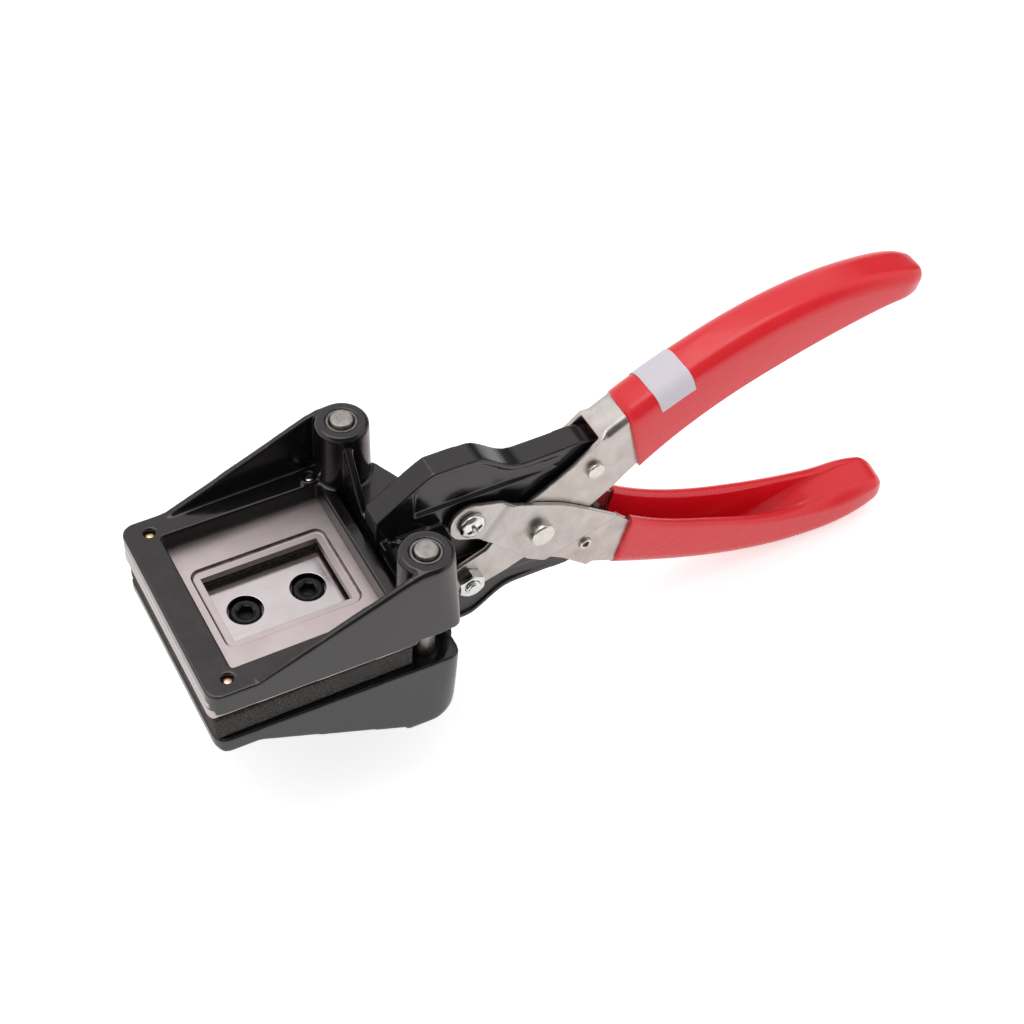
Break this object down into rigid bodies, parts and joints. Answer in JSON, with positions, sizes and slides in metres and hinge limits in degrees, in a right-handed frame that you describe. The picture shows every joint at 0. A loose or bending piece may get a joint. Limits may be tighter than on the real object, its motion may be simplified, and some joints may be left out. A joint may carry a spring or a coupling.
{
  "type": "hand-held picture punch",
  "caption": "Plier-style hand punch that cuts rectangular id pictures: die and punch jaws on guide posts, closed in parallel by crossed handles with dipped grips.",
  "frame": {"origin": "on the axis of the die opening, halfway between the two jaws at rest", "axes": "+X from the die towards the grips, +Z along the punch axis towards the open window that the picture comes out of, +Y to the side away from the cross-head pivot screw"},
  "size_m": [0.2293, 0.0626, 0.1047],
  "materials": {
    "casting": "glossy black paint on a die casting",
    "tool_steel": "ground steel",
    "post_steel": "dull turned steel",
    "black_screw": "black oxide",
    "foam": "open-cell sponge",
    "spring_steel": "drawn wire",
    "zinc_screw": "bright zinc plate",
    "brass_screw": "yellow zinc plate",
    "handle_steel": "satin nickel plate",
    "rivet_steel": "bright nickel plate",
    "grip": "glossy dipped coat",
    "label": "coated paper"
  },
  "bodies": {
    "lower_jaw": {"lower_casting": "casting", "near_guide_post": "post_steel", "far_guide_post": "post_steel", "punch_block": "tool_steel", "punch_screws": "black_screw", "foam_pad": "foam", "return_spring": "spring_steel", "lower_pivot_screw": "zinc_screw", "lower_pivot_nut": "zinc_screw"},
    "upper_jaw": {"upper_casting": "casting", "die_plate": "tool_steel", "die_screws": "brass_screw", "near_bush": "post_steel", "far_bush": "post_steel", "upper_pivot_screw": "zinc_screw", "upper_pivot_nut": "zinc_screw"},
    "upper_lever": {"upper_handle": "handle_steel", "upper_grip": "grip", "upper_slide_pin": "rivet_steel", "size_label": "label"},
    "lower_lever": {"lower_handle": "handle_steel", "lower_grip": "grip", "lower_slide_pin": "rivet_steel", "pivot_rivet": "rivet_steel"}
  },
  "joints": [
    {"name": "press", "type": "slide", "parent": "lower_jaw", "child": "upper_jaw", "axis": [0, 0, -1], "range_m": [0, 0.007], "stiffness_N_per_m": 1200, "springref_m": -0.01, "deforming": ["foam_pad", "return_spring"]},
    {"name": "upper_lever_pivot", "type": "hinge", "parent": "lower_jaw", "child": "upper_lever", "pos_m": [0.052, 0, -0.0112], "axis": [0, 1, 0], "range_deg": [0, 9.5]},
    {"name": "lower_lever_pivot", "type": "hinge", "parent": "upper_jaw", "child": "lower_lever", "pos_m": [0.052, 0, 0.0112], "axis": [0, -1, 0], "range_deg": [0, 9.5]}
  ],
  "couplings": [
    {"joint": "upper_lever_pivot", "follows": "press", "rad_per_m": 23.667},
    {"joint": "lower_lever_pivot", "follows": "press", "rad_per_m": 23.667}
  ]
}
